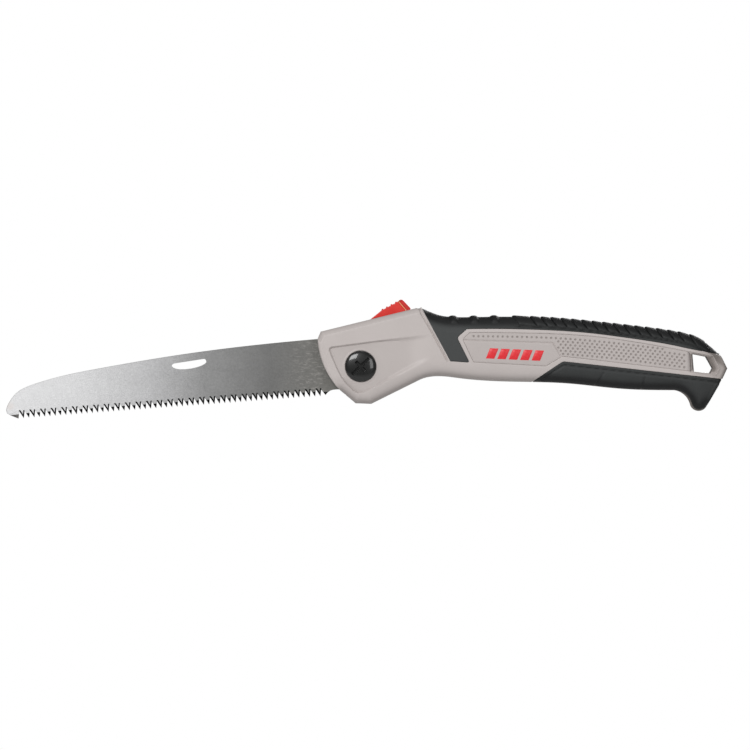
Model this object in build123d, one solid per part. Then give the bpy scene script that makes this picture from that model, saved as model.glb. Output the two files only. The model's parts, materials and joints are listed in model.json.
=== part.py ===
"""Folding pull saw: a toothed blade that swings out of a two-part handle and locks with a rocker.

Millimetres. X runs along the handle towards its tail, Z is up with the teeth below, and Y runs from the
front cheek to the back cheek. Shapes are drawn about the blade pivot with the blade's middle plane at
Y = 0, then moved so that the origin is the centre of the pivot nut's flat outer face.
"""

import math
import os

from build123d import *

os.makedirs("parts", exist_ok=True)

# Handle section
HALF_THICKNESS = 11.0
EDGE_RADIUS = 3.0
GRIP_DEPTH = 1.6
WALL = 3.4
SLOT_HALF_WIDTH = 1.5
LIP_HALF_WIDTH = 2.5
SEAM_GAP = 0.02

# Runs of the handle outline as (x, z) from the pivot
MOUTH = [(-24.9, 16.0), (-20.9, -0.6), (-11.5, -14.2)]
SPINE = [
    (33.4, 34.0),
    (44.5, 30.4),
    (60, 28.9),
    (85, 29.2),
    (120, 27.6),
    (150, 24.5),
    (180, 20.7),
    (196.8, 16.0),
    (208.4, 6.9),
]
BELLY = [
    (181, -13.8),
    (150, -12.9),
    (120, -9.9),
    (85, -8.8),
    (57.6, -6.9),
    (44.7, -5.7),
    (34.0, -7.9),
]

# Blade
BLADE_THICKNESS = 1.3
BLADE_DROOP = 4.62
FOLD_ANGLE = 169.5
TANG_RADIUS = 16.5
TOOTH_COUNT = 58
TOOTH_PITCH = 3.08
TOOTH_FALL = 0.0069  # how much lower each millimetre towards the handle puts the toothed edge
TOOTH_HEIGHT = 3.9
TOOTH_LINE = -14.2
TOE_TOOTH = 200.2
CUTTING_FLANK = 0.72
GULLET_FLAT = 0.13

# Pivot hardware
SCREW_HEAD_RADIUS = 8.9
SCREW_HEAD_HEIGHT = 2.7
SHANK_RADIUS = 2.95
BARREL_RADIUS = 4.5
BARREL_BORE = 3.0
PIVOT_CLEARANCE = 0.05
HEAD_SEAT = 9.4
NUT_HEAD_RADIUS = 8.0
NUT_HEAD_HEIGHT = 2.5
NUT_KEY_WIDTH = 12.0
NUT_KEY_DEPTH = 2.0
NUT_FACE = HEAD_SEAT + NUT_HEAD_HEIGHT
WASHER_RADIUS = 9.0
WASHER_THICKNESS = 0.6
PIVOT_BOSS_RADIUS = 10.5

# Lock rocker
FULCRUM = (12.5, 25.0)
PIN_RADIUS = 1.75
PIN_HALF_LENGTH = 6.8
LEVER_HALF_WIDTH = 2.0
BUTTON_HALF_WIDTH = 4.0
POCKET_HALF_WIDTH = 4.5
LOCK_DIRECTION = 97.0
NOTCH_WIDTH = 4.8
NOTCH_DEPTH = 2.3
TOOTH_TO_RIM = 0.35
LOCK_TOOTH_WIDTH = 4.2
SPRING_X = 24.0
SPRING_SEAT = 17.0
SPRING_TOP = 25.95
SPRING_RADIUS = 2.1
SPRING_WIRE = 0.28
SPRING_TURNS = 5

# Shell screws and side panels
SHELL_SCREWS = [(70.0, 12.4), (125.0, 9.6), (176.0, 3.4)]
SHELL_BOSS_RADIUS = 3.6
SHELL_SCREW_RADIUS = 1.4
SHELL_SCREW_HEAD = 2.9
SHELL_HEAD_DEPTH = 4.2
SHELL_HEAD_HEIGHT = 1.8
SHELL_SCREW_REACH = 5.5
PANEL_DEPTH = 1.2
PANEL_GAP = 0.06
FAR = 60.0


def closed(*edges):
    """A flat shape bounded by these edges, drawn as (x, z)."""
    return make_face((Curve() + list(edges)).edges())


def polygon(*points):
    """A flat shape with straight sides, drawn as (x, z)."""
    return make_face(Polyline(*points, close=True).edges())


def drawn_in(points, depth):
    """A run of outline points moved inwards by depth, square to the line between their neighbours."""
    moved = []
    for number, (x, z) in enumerate(points):
        before, after = points[max(number - 1, 0)], points[min(number + 1, len(points) - 1)]
        run, rise = after[0] - before[0], after[1] - before[1]
        length = math.hypot(run, rise)
        moved.append((x + depth * rise / length, z - depth * run / length))
    return moved


def slab(shape, near, far):
    """A flat shape stood up in the XZ plane and thickened from near to far in front of the middle."""
    return extrude(Plane.XZ.offset(near) * shape, far - near)


def peg(place, radius, near, far):
    """A round peg along Y at (x, z), from near to far in front of the middle plane."""
    return slab(Pos(*place) * Circle(radius), near, far)


def to_back(part):
    """The same part on the other side of the middle plane."""
    return mirror(part, about=Plane.XZ)


def at_angle(degrees, radius):
    """A point at this radius from the pivot, as (x, z)."""
    turn = math.radians(degrees)
    return (radius * math.cos(turn), radius * math.sin(turn))


# Outlines, as (x, z) from the pivot.


def handle_outline():
    """The handle from the side: angular head, curved grip and the hook that guards the blade's tip."""
    mouth = ThreePointArc(*MOUTH)
    chin = Polyline([MOUTH[-1], (-2.9, -21.4), (6.1, -21.75), BELLY[-1]])
    belly = Spline(BELLY, tangents=[(-1, 0), (-0.9, -0.44)])
    throat = Spline([(191.2, -22.6), (188.6, -17.4), BELLY[0]], tangents=[(-0.25, 1), (-1, 0)])
    hook = ThreePointArc((200.4, -23.1), (195.6, -25.8), (191.2, -22.6))
    tail = Polyline([(200.4, -23.1), (209.3, -7.6), (212.3, -1.2), SPINE[-1]])
    spine = Spline(SPINE, tangents=[(1, -0.12), (0.70, -0.72)])
    brow = Polyline([SPINE[0], (-23.2, 20.1), MOUTH[0]])
    return closed(mouth, chin, belly, throat, hook, tail, spine, brow)


def core_outline():
    """The hard core under the soft grips, plain and well inside where no grip covers it."""
    spine, belly = drawn_in(SPINE, GRIP_DEPTH), drawn_in(BELLY, GRIP_DEPTH)
    throat = Spline([(192.8, -22.0), (190.0, -16.4), belly[0]], tangents=[(-0.25, 1), (-1, 0)])
    hook = ThreePointArc((199.5, -21.4), (195.8, -24.2), (192.8, -22.0))
    tail = Polyline([(199.5, -21.4), (207.7, -7.1), (210.0, -1.6), spine[-1]])
    front = Polyline([spine[0], (20, 27), (20, -6), belly[-1]])
    return closed(Spline(belly), throat, hook, tail, Spline(spine), front)


def cavity_outline():
    """The hollow of the handle, ending short of the lanyard hole."""
    spine, belly = drawn_in(SPINE, WALL)[1:-2], drawn_in(BELLY, WALL)[:-1]
    tail = Polyline([belly[0], (186.8, -12.6), (186.8, 13.6), spine[-1]])
    head = [(32, 29.9), (-19.4, 17.2), (-20.8, 13.5), (-19.3, 4.4), (-15.9, -3.0), (-8.8, -11.6)]
    throat = [(-1.8, -17.8), (5.4, -18.1)]
    return closed(tail, Spline(spine), Polyline([spine[0]] + head + throat + [belly[-1]]), Spline(belly))


def top_grip_region():
    """Where the soft grip covers the top of the handle and runs down behind the head."""
    lower_edge = Spline(
        [(63.3, 21.8), (110, 21.2), (133, 19.6), (164, 15.5), (186, 11.2), (214, 7.4)],
        tangents=[(1, 0), (1, -0.13)],
    )
    around = Polyline(
        [
            (214, 7.4),
            (214, 50),
            (25.8, 50),
            (34.7, 34.0),
            (51.4, 4.1),
            (62.7, 2.3),
            (56.0, 16.8),
            (63.3, 21.8),
        ]
    )
    return closed(lower_edge, around)


def lower_grip_region():
    """Where the soft grip covers the finger side and the hook."""
    return polygon(
        (99.7, -8.4), (116.8, 2.6), (214, -6.8), (214, -40), (80, -40), (80, -21)
    )


def panel_outline(gap=0.0):
    """The textured side panel between the two grips, drawn smaller all round by the gap."""
    top = [(63.9, 19.7 - gap), (110, 19.0 - gap), (150, 15.2 - gap), (188.4 - gap, 8.6 - gap)]
    right = [(189.6 - gap, -2.6 + gap), (152, 1.2 + gap), (116.5, 5.6 + gap), (107.1, 0.5 + gap)]
    left = [(66.2 + gap, 2.6 + gap), (59.4 + gap, 15.8), (63.9, 19.7 - gap)]
    return closed(Spline(top), Polyline([top[-1]] + right + left))


def lanyard_hole():
    """The five-sided hole through the tail."""
    return polygon((191.8, 8.0), (202.0, 6.0), (205.4, -1.3), (203.4, -4.4), (192.5, -3.2))


def head_recess():
    """The sunk facet round the pivot."""
    return polygon(
        (-18.4, 11.2), (34.4, 18.2), (41.4, 4.8), (-1.6, -16.6), (-6.2, -10.8), (-12.0, -3.3)
    )


def blade_slot():
    """The space that the blade sweeps, drawn below its toothed edge in the folded position."""
    clearance = 0.6
    droop = math.radians(180 + BLADE_DROOP + FOLD_ANGLE - 360) - math.atan(TOOTH_FALL)
    height = clearance - (TOOTH_LINE - TOE_TOOTH * TOOTH_FALL) / math.cos(droop)
    tail_x = 214
    return polygon(
        (-40, 17.0),
        (-7, 20.0),
        (5, 20.0),
        (17, height + 17 * math.tan(droop)),
        (tail_x, height + tail_x * math.tan(droop)),
        (tail_x, -40),
        (-40, -40),
    )


def blade_plane():
    """Local X runs from the pivot to the toe and local Y towards the blade's spine."""
    droop = math.radians(BLADE_DROOP)
    return Plane(
        origin=(0, 0, 0), x_dir=(-math.cos(droop), 0, -math.sin(droop)), z_dir=(0, 1, 0)
    )


def blade_outline():
    """The blade in its own plane: curved spine, blunt toe, raked teeth and round tang."""
    heel_tip, tang_foot = (21.7, -14.9), (10.3, -12.9)
    spine = Spline(
        [
            (7, 17.9),
            (72, 16.9),
            (121.5, 13.9),
            (151, 11.15),
            (172, 8.65),
            (187.2, 5.7),
            (194.7, 3.6),
            (200.1, 0.9),
            (204.2, -3.4),
            (206.6, -7.4),
        ],
        tangents=[(1, 0), (0.4, -1)],
    )
    nose = ThreePointArc((206.6, -7.4), (207.0, -9.7), (204.9, -11.9))
    teeth = [(204.9, -11.9)]
    for number in range(TOOTH_COUNT):
        tip = TOE_TOOTH - number * TOOTH_PITCH
        point = TOOTH_LINE - number * TOOTH_PITCH * TOOTH_FALL
        root = point + TOOTH_HEIGHT
        teeth.append((tip, point))
        teeth.append((tip - CUTTING_FLANK, root))
        teeth.append((tip - CUTTING_FLANK - GULLET_FLAT, root))
    teeth.append(heel_tip)
    heel = Spline([heel_tip, (18.0, -12.5), tang_foot], tangents=[(-1, 1), (-1, -0.2)])
    back = Polyline([tang_foot, (6.2, 15.3), (7, 17.9)])
    return make_face((Curve() + [spine, nose, Polyline(teeth), heel, back]).edges())


def blade_window():
    """The crescent opening under the spine."""
    return make_face(
        (
            Curve()
            + [
                Line((90.6, 11.6), (107.7, 10.4)),
                Spline(
                    [
                        (107.7, 10.4),
                        (108.9, 8.8),
                        (102.4, 6.4),
                        (93.8, 7.4),
                        (89.0, 10.0),
                        (90.6, 11.6),
                    ],
                    tangents=[(1, -0.1), (1, 0.05)],
                ),
            ]
        ).edges()
    )


# Handle parts. Each front part is mirrored for the back cheek.


def outer_half():
    """The front half of the handle's outer shape, with its rounded edge."""
    body = slab(handle_outline(), 0, HALF_THICKNESS)
    return fillet(body.faces().sort_by(Axis.Y)[0].edges(), EDGE_RADIUS)


def core_half():
    """The outer shape less the depth of the soft grip."""
    return slab(core_outline(), 0, HALF_THICKNESS - GRIP_DEPTH)


def top_grip(outer, core):
    """Soft grip over the top, with three thumb ridges and slanted grooves behind them."""
    skin = (outer & slab(top_grip_region(), 0, FAR)) - core
    ridge_height = 27.6
    for ridge_x in (53.2, 65.3, 77.1):
        skin += peg((ridge_x, ridge_height), 2.4, 0, HALF_THICKNESS - EDGE_RADIUS) - core
    groove = slab(polygon((-0.35, 3), (0.35, 3), (2.0, -2.6), (1.5, -2.6)), 0, FAR)
    first_groove, groove_step, groove_count = 92.0, 6.1, 17
    for number in range(groove_count):
        x = first_groove + number * groove_step
        skin -= Pos(x, 0, spine_height(x)) * groove
    return largest(skin - core)


def spine_height(x):
    """Height of the handle's top edge at x along the grip."""
    rise, drop_start = 29.2, 84.0
    return rise - 0.00093 * (x - drop_start) ** 2


def lower_grip(outer, core):
    """Soft grip on the finger side, held clear of the slot mouth by the shell's lip."""
    skin = (outer & slab(lower_grip_region(), LIP_HALF_WIDTH, FAR)) - core
    groove = slab(polygon((-0.4, 0.3), (0.4, 0.3), (2.6, -16), (1.6, -16)), 10.6, FAR)
    for x, z in ((133.0, -1.0), (158.5, -3.6)):
        skin -= Pos(x, 0, z) * groove
    return largest(skin)


def largest(shape):
    """The biggest solid of a cut, dropping chips thinner than the tool."""
    return shape.solids().sort_by(SortBy.VOLUME)[-1]


def cavity():
    """The hollow inside one shell, leaving its wall."""
    return slab(cavity_outline(), 0, HALF_THICKNESS - WALL)


def recess_depth():
    """The head recess as a solid: level round the pivot and running out towards the grip."""
    floor = 9.6
    level_end, run_out = 12.0, 38.0
    profile = Plane.XY * make_face(
        Polyline(
            (-40, -floor),
            (level_end, -floor),
            (run_out, -HALF_THICKNESS),
            (60, -HALF_THICKNESS),
            (60, -20),
            (-40, -20),
            close=True,
        ).edges()
    )
    wedge = extrude(profile, FAR, both=True)
    return slab(head_recess(), 0, FAR) & wedge


def shell_half(outer, core):
    """One cheek of the handle, drawn on the front side."""
    lever_pocket = slab(
        polygon((-6.8, 15), (-6.8, 40), (33.5, 40), (30.2, 27.2), (18, 21), (8, 17)),
        0,
        POCKET_HALF_WIDTH,
    )
    inside = HALF_THICKNESS - WALL + 0.5
    shell = outer - slab(top_grip_region(), 0, FAR) - slab(lower_grip_region(), LIP_HALF_WIDTH, FAR)
    shell += core
    shell -= cavity()
    shell += peg((0, 0), PIVOT_BOSS_RADIUS, BLADE_THICKNESS / 2 + WASHER_THICKNESS, inside)
    for place in SHELL_SCREWS:
        shell += peg(place, SHELL_BOSS_RADIUS, SEAM_GAP, inside)
    shell += slab(polygon((19.5, 14.2), (19.5, SPRING_SEAT), (29, SPRING_SEAT), (29, 14.2)), 0, inside)
    shell -= slab(blade_slot(), 0, SLOT_HALF_WIDTH)
    shell -= peg((0, 0), WASHER_RADIUS + 0.2, 0, BLADE_THICKNESS / 2 + WASHER_THICKNESS + SEAM_GAP)
    shell -= lever_pocket
    shell += peg(FULCRUM, 3.0, LEVER_HALF_WIDTH + 0.15, inside)
    shell -= peg(FULCRUM, PIN_RADIUS + 0.02, 0, PIN_HALF_LENGTH + 0.1)
    shell -= slab(lanyard_hole(), 0, FAR)
    shell -= recess_depth()
    shell -= peg((0, 0), SCREW_HEAD_RADIUS + 0.4, HEAD_SEAT, FAR)
    shell -= peg((0, 0), BARREL_RADIUS + 0.03, 0, FAR)
    shell -= slab(panel_outline(), HALF_THICKNESS - PANEL_DEPTH, FAR)
    return largest(shell)


def front_shell(half):
    """The front cheek, with blind pilot holes for the shell screws."""
    for place in SHELL_SCREWS:
        half -= peg(place, SHELL_SCREW_RADIUS + 0.01, 0, SHELL_SCREW_REACH + 0.3)
    return half


def back_shell(half):
    """The back cheek, with counterbored screw holes and a six-sided seat for the pivot nut."""
    for place in SHELL_SCREWS:
        half -= peg(place, SHELL_SCREW_RADIUS + 0.1, 0, FAR)
        half -= peg(place, SHELL_SCREW_HEAD + 0.2, HALF_THICKNESS - SHELL_HEAD_DEPTH, FAR)
    key = RegularPolygon(NUT_KEY_WIDTH / 2 + 0.05, 6, major_radius=False)
    half -= slab(key, HEAD_SEAT - NUT_KEY_DEPTH - 0.05, HEAD_SEAT + 0.1)
    return to_back(half)


def side_panel():
    """The panel insert, a touch smaller than its pocket."""
    return slab(panel_outline(PANEL_GAP), HALF_THICKNESS - PANEL_DEPTH + SEAM_GAP, HALF_THICKNESS - 0.1)


def back_panel(panel):
    """The back insert has clearance holes over the shell screws."""
    for place in SHELL_SCREWS:
        panel -= peg(place, SHELL_SCREW_HEAD + 0.5, 0, FAR)
    return to_back(panel)


# Pivot hardware


def pivot_screw():
    """Pan-head machine screw with a cross recess, entering from the front."""
    rim = 0.7
    head = peg((0, 0), SCREW_HEAD_RADIUS, HEAD_SEAT, HEAD_SEAT + rim)
    dome_radius = (SCREW_HEAD_RADIUS**2 + (SCREW_HEAD_HEIGHT - rim) ** 2) / (
        2 * (SCREW_HEAD_HEIGHT - rim)
    )
    dome = Pos(0, -(HEAD_SEAT + SCREW_HEAD_HEIGHT - dome_radius), 0) * Sphere(dome_radius)
    head += dome & peg((0, 0), SCREW_HEAD_RADIUS, HEAD_SEAT + rim, HEAD_SEAT + SCREW_HEAD_HEIGHT)
    head += peg((0, 0), SHANK_RADIUS, -6.0, HEAD_SEAT)
    arm_length, arm_width, depth = 10.6, 1.5, 2.3
    for turn in (42, 132):
        arm = Rot(0, 0, turn) * Rectangle(arm_length, arm_width)
        head -= slab(arm, HEAD_SEAT + SCREW_HEAD_HEIGHT - depth, FAR)
    return head


def pivot_nut():
    """Sleeve nut from the back: flat head, six-sided key and the barrel that the blade turns on."""
    head = peg((0, 0), NUT_HEAD_RADIUS, HEAD_SEAT, NUT_FACE)
    head = chamfer(head.faces().sort_by(Axis.Y)[0].edges(), 0.6)
    key = RegularPolygon(NUT_KEY_WIDTH / 2, 6, major_radius=False)
    head += slab(key, HEAD_SEAT - NUT_KEY_DEPTH, HEAD_SEAT)
    head += peg((0, 0), BARREL_RADIUS, -8.4, HEAD_SEAT - NUT_KEY_DEPTH)
    head -= peg((0, 0), BARREL_BORE, -10, 7.0)
    return to_back(head)


def washer():
    """Thin friction washer between the blade and a shell's boss."""
    inner_face = BLADE_THICKNESS / 2 + SEAM_GAP
    ring = peg((0, 0), WASHER_RADIUS, inner_face, inner_face + WASHER_THICKNESS - SEAM_GAP)
    return ring - peg((0, 0), BARREL_RADIUS + 0.03, 0, FAR)


def blade():
    """Steel plate with teeth, window, pivot hole and two lock notches."""
    hole = Circle(BARREL_RADIUS + PIVOT_CLEARANCE)
    face = blade_outline() + Circle(TANG_RADIUS) - hole - blade_window()
    plate = extrude(blade_plane() * face, BLADE_THICKNESS / 2, both=True)
    for direction in (LOCK_DIRECTION, LOCK_DIRECTION - FOLD_ANGLE):
        notch = Box(2 * NOTCH_DEPTH, 10, NOTCH_WIDTH)
        x, z = at_angle(direction, TANG_RADIUS)
        plate -= Pos(x, 0, z) * Rot(0, -direction, 0) * notch
    return largest(plate)


def lock_lever():
    """Steel rocker on the fulcrum pin: locking tooth in front, button end behind."""
    tip = TANG_RADIUS + TOOTH_TO_RIM
    reach = 4.6
    centre = at_angle(LOCK_DIRECTION, tip + reach / 2)
    tooth = Pos(centre[0], 0, centre[1]) * Rot(0, -LOCK_DIRECTION, 0)
    tooth *= Box(reach, 2 * LEVER_HALF_WIDTH, LOCK_TOOTH_WIDTH)
    arm = slab(
        polygon(
            (-4.9, 19.4),
            (1.0, 18.9),
            (8.5, 20.6),
            (12.5, 20.9),
            (16.5, 22.2),
            (20.4, SPRING_TOP + 0.05),
            (27.4, SPRING_TOP + 0.05),
            (26.4, 32.0),
            (22.6, 35.6),
            (13.0, 30.4),
            (4.0, 24.6),
            (-4.9, 21.6),
        ),
        -LEVER_HALF_WIDTH,
        LEVER_HALF_WIDTH,
    )
    return arm + tooth - peg(FULCRUM, PIN_RADIUS + 0.04, -FAR, FAR)


def lock_button(lever):
    """Moulded thumb pad round the rear of the rocker, with four grip ribs on its ramp."""
    rear = ThreePointArc((22.4, 38.2), (23.7, 38.7), (24.8, 38.0))
    sides = Polyline(
        [
            (24.8, 38.0),
            (29.0, 33.7),
            (28.4, 28.0),
            (19.0, 27.0),
            (16.4, 28.6),
            (8.4, 28.2),
            (5.6, 26.4),
            (4.4, 26.2),
            (12.2, 32.8),
            (22.4, 38.2),
        ]
    )
    pad = slab(closed(rear, sides), -BUTTON_HALF_WIDTH, BUTTON_HALF_WIDTH)
    rib_radius, rib_pitch = 0.75, 2.7
    ramp = math.atan2(38.2 - 32.8, 22.4 - 12.2)
    for number in range(4):
        along = 0.9 + number * rib_pitch
        place = (12.2 + along * math.cos(ramp), 32.8 + along * math.sin(ramp))
        pad += peg(place, rib_radius, -BUTTON_HALF_WIDTH + 0.3, BUTTON_HALF_WIDTH - 0.3)
    return largest(pad - lever - peg(FULCRUM, 3.5, -FAR, FAR))


def lock_pin():
    """Fulcrum pin across the two shells."""
    return peg(FULCRUM, PIN_RADIUS, -PIN_HALF_LENGTH, PIN_HALF_LENGTH)


def lock_spring():
    """Compression spring that pushes the button end up."""
    height = SPRING_TOP - SPRING_SEAT - 2 * SPRING_WIRE
    path = Helix(pitch=height / SPRING_TURNS, height=height, radius=SPRING_RADIUS)
    start = Plane(origin=path @ 0, z_dir=path % 0)
    coil = sweep(start * Circle(SPRING_WIRE), path=path)
    return Pos(SPRING_X, 0, SPRING_SEAT + SPRING_WIRE + 0.01) * coil


def shell_screws():
    """Three self-tapping screws from the back, drawn as separate solids."""
    seat = HALF_THICKNESS - SHELL_HEAD_DEPTH
    screws = []
    for place in SHELL_SCREWS:
        screw = peg(place, SHELL_SCREW_HEAD, seat + 0.01, seat + SHELL_HEAD_HEIGHT)
        screw += peg(place, SHELL_SCREW_RADIUS, -SHELL_SCREW_REACH, seat + 0.01)
        for turn in (15, 105):
            arm = Pos(*place) * Rot(0, 0, turn) * Rectangle(3.4, 0.8)
            screw -= slab(arm, seat + SHELL_HEAD_HEIGHT - 1.1, FAR)
        screws.append(to_back(screw).solids()[0])
    return Compound(screws)


def main():
    """Builds every piece and writes it in the finished frame."""
    outer, core = outer_half(), core_half()
    upper, lower = top_grip(outer, core), lower_grip(outer, core)
    half = shell_half(outer, core)
    panel, lever = side_panel(), lock_lever()
    parts = {
        "front_shell": front_shell(half),
        "back_shell": back_shell(half),
        "front_top_grip": upper,
        "back_top_grip": to_back(upper),
        "front_lower_grip": lower,
        "back_lower_grip": to_back(lower),
        "front_side_panel": panel,
        "back_side_panel": back_panel(panel),
        "pivot_screw": pivot_screw(),
        "pivot_nut": pivot_nut(),
        "front_pivot_washer": washer(),
        "back_pivot_washer": to_back(washer()),
        "shell_screws": shell_screws(),
        "lock_pin": lock_pin(),
        "lock_spring": lock_spring(),
        "lock_lever": lever,
        "lock_button": lock_button(lever),
        "blade": blade(),
    }
    for name, part in parts.items():
        export_step(part.moved(Location((0, -NUT_FACE, 0))), f"parts/{name}.step")


main()
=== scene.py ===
import json
import math

import bmesh
import bpy
import numpy as np
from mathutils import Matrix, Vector
from mathutils.geometry import delaunay_2d_cdt


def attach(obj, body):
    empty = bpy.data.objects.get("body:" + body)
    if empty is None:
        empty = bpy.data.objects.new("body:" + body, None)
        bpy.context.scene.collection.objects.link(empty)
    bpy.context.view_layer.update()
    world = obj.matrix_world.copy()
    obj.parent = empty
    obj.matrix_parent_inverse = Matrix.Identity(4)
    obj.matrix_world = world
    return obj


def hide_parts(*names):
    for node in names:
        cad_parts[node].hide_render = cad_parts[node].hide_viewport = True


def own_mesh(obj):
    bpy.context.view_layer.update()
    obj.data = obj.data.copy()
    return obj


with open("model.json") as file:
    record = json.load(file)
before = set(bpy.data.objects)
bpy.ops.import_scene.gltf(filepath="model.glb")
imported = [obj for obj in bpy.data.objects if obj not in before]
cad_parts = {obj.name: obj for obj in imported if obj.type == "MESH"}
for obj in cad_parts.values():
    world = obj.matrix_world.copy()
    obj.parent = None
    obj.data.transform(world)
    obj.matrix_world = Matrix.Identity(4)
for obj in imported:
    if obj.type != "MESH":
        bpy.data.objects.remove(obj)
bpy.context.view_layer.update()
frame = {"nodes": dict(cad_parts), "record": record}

# The studio
# A camera square on to the cheek of the handle, with the whole open saw in view, over a round pale floor.
# The key is a big soft box up and to its left, with a twin behind the saw. The room adds a dim even fill.
joints = frame["record"]["behaviour"]["joints"]
pivot = Vector(joints[0]["pos_m"])
camera = bpy.data.objects.new("camera", bpy.data.cameras.new("camera"))
camera.data.lens = 322.8
camera.location = pivot + Vector((0.0083, -3.9, -0.005))
camera.rotation_euler = (math.radians(90), 0, 0)
scene = bpy.context.scene
scene.collection.objects.link(camera)
scene.camera = camera
scene.view_settings.view_transform = "Standard"


def softbox(name, place, width, depth, power):
    """A rectangular soft light at place, turned to the pivot."""
    light = bpy.data.lights.new(name, "AREA")
    light.shape = "RECTANGLE"
    light.size, light.size_y, light.energy = width, depth, power
    lamp = bpy.data.objects.new(name, light)
    lamp.location = place
    lamp.rotation_euler = (-Vector(place)).to_track_quat("-Z", "Y").to_euler()
    scene.collection.objects.link(lamp)


softbox("key_box", (-0.7, -1.75, 0.9), 0.9, 0.7, 23.5)
softbox("side_box", (0.9, -1.9, 0.3), 0.5, 0.9, 6)
softbox("overhead_box", (0.3, -0.3, 1.3), 0.9, 0.5, 2.5)
softbox("back_box", (0.7, 1.75, 0.9), 0.9, 0.7, 15)
room = bpy.data.worlds.new("room")
room.use_nodes = True
air = room.node_tree.nodes
air["Background"].inputs["Color"].default_value = (1, 1, 1, 1)
seen = air.new("ShaderNodeLightPath")
bright = air.new("ShaderNodeMapRange")
bright.inputs["To Min"].default_value = 0.2
room.node_tree.links.new(seen.outputs["Is Camera Ray"], bright.inputs["Value"])
room.node_tree.links.new(bright.outputs[0], air["Background"].inputs["Strength"])
scene.world = room


def linear(red, green, blue):
    """A colour given as it looks on screen, 0 to 255, in the light units that shaders use."""
    return tuple((value / 255) ** 2.2 for value in (red, green, blue)) + (1.0,)


class Finish:
    """A socket in a material. Arithmetic on it adds Math nodes, and put() adds any other node."""

    def __init__(self, tree, socket=None):
        self.tree, self.socket = tree, socket

    def put(self, kind, values=None, out=0, **settings):
        node = self.tree.nodes.new("ShaderNode" + kind)
        for name, value in settings.items():
            if name == "stops":
                stops = node.color_ramp.elements
                stops[0].position, stops[0].color = value[0]
                stops[1].position, stops[1].color = value[-1]
                for place, colour in value[1:-1]:
                    stops.new(place).color = colour
            else:
                setattr(node, name, value)
        for name, value in (values or {}).items():
            self.feed(node.inputs[name], value)
        return Finish(self.tree, node.outputs[out])

    def feed(self, entry, value):
        if isinstance(value, Finish):
            self.tree.links.new(value.socket, entry)
        else:
            entry.default_value = value

    def sum(self, operation, first, second=0.0):
        return self.put("Math", {0: first, 1: second}, operation=operation)

    def __add__(self, other):
        return self.sum("ADD", self, other)

    def __sub__(self, other):
        return self.sum("SUBTRACT", self, other)

    def __rsub__(self, other):
        return self.sum("SUBTRACT", other, self)

    def __mul__(self, other):
        return self.sum("MULTIPLY", self, other)

    __radd__, __rmul__ = __add__, __mul__

    def step(self, low, high, below=0.0, above=1.0):
        """A smooth rise from below to above as this value goes from low to high."""
        values = {"Value": self, 1: low, 2: high, 3: below, 4: above}
        return self.put("MapRange", values, interpolation_type="SMOOTHSTEP")

    def between(self, first, second):
        """The first colour where this value is 0, the second where it is 1."""
        return self.put("Mix", {0: self, 6: first, 7: second}, out=2, data_type="RGBA")


def finish(name, **plain):
    """A new Principled material with plain values set, and a Finish to build its nodes from."""
    made = bpy.data.materials.new(name)
    made.use_nodes = True
    shader = made.node_tree.nodes["Principled BSDF"]
    for entry, value in plain.items():
        shader.inputs[entry.replace("_", " ")].default_value = value
    return made, Finish(made.node_tree), shader


def millimetres(new):
    """The place on the piece in millimetres, as a vector."""
    place = new.put("TexCoord", out="Object")
    return new.put("VectorMath", {0: place, "Scale": 1000.0}, operation="SCALE")


def grain(new, place, size, detail=2.0, rough=0.5):
    """Cloudy variation from 0 to 1 with lumps about this many millimetres across."""
    values = {"Vector": place, "Scale": 1.0 / size, "Detail": detail, "Roughness": rough}
    return new.put("TexNoise", values, out=0)


def surface(new, shader, colour, roughness, height, depth):
    """Feeds the shader its colour, its roughness if that varies, and a bump of this depth in millimetres."""
    new.feed(shader.inputs["Base Color"], colour)
    if roughness:
        new.feed(shader.inputs["Roughness"], roughness)
    bump = new.put("Bump", {"Height": height, "Strength": 1.0, "Distance": depth * 0.001})
    new.feed(shader.inputs["Normal"], bump)


def clouded(name, dark, light, lump, dull, depth, speck=None, **plain):
    """A material clouded from dark to light, in lumps of this size and detail, with a relief of this depth.

    The relief follows speck, a finer grain, or else the lumps. Dull holds the least roughness, what that
    grain adds, and what the lumps add besides."""
    made, new, shader = finish(name, **plain)
    place = millimetres(new)
    cloud = grain(new, place, *lump)
    fine = grain(new, place, *speck) if speck else cloud
    roughness = fine * dull[1] + dull[0] if dull else None
    if speck and len(dull) == 3:
        roughness = roughness + cloud * dull[2]
    surface(new, shader, cloud.between(linear(*dark), linear(*light)), roughness, fine, depth)
    return made


paper, new, shader = finish("floor_paper", Roughness=0.9)
place = new.put("TexCoord", out="Object")
tint = grain(new, millimetres(new), 180.0)
new.feed(shader.inputs["Base Color"], tint.between(linear(238, 238, 238), linear(246, 246, 246)))
new.feed(shader.inputs["Alpha"], new.put("VectorMath", {0: place}, out=1, operation="LENGTH").step(1.5, 0.7))
floor_z, floor_radius, floor_sides = -0.36, 1.6, 48
turns = [2 * math.pi * number / floor_sides for number in range(floor_sides)]
spots = [(floor_radius * math.cos(turn), floor_radius * math.sin(turn), floor_z) for turn in turns]
floor_mesh = bpy.data.meshes.new("studio_floor")
floor_mesh.from_pydata(spots, [], [tuple(range(floor_sides))])
floor_mesh.materials.append(paper)
floor = bpy.data.objects.new("studio_floor", floor_mesh)
scene.collection.objects.link(floor)

# The blade
# One 1.3 mm plate of spring steel, punched with a crescent window, with teeth ground from each side in turn.
# Its round tang turns on the pivot and has two notches for the lock.


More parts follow.
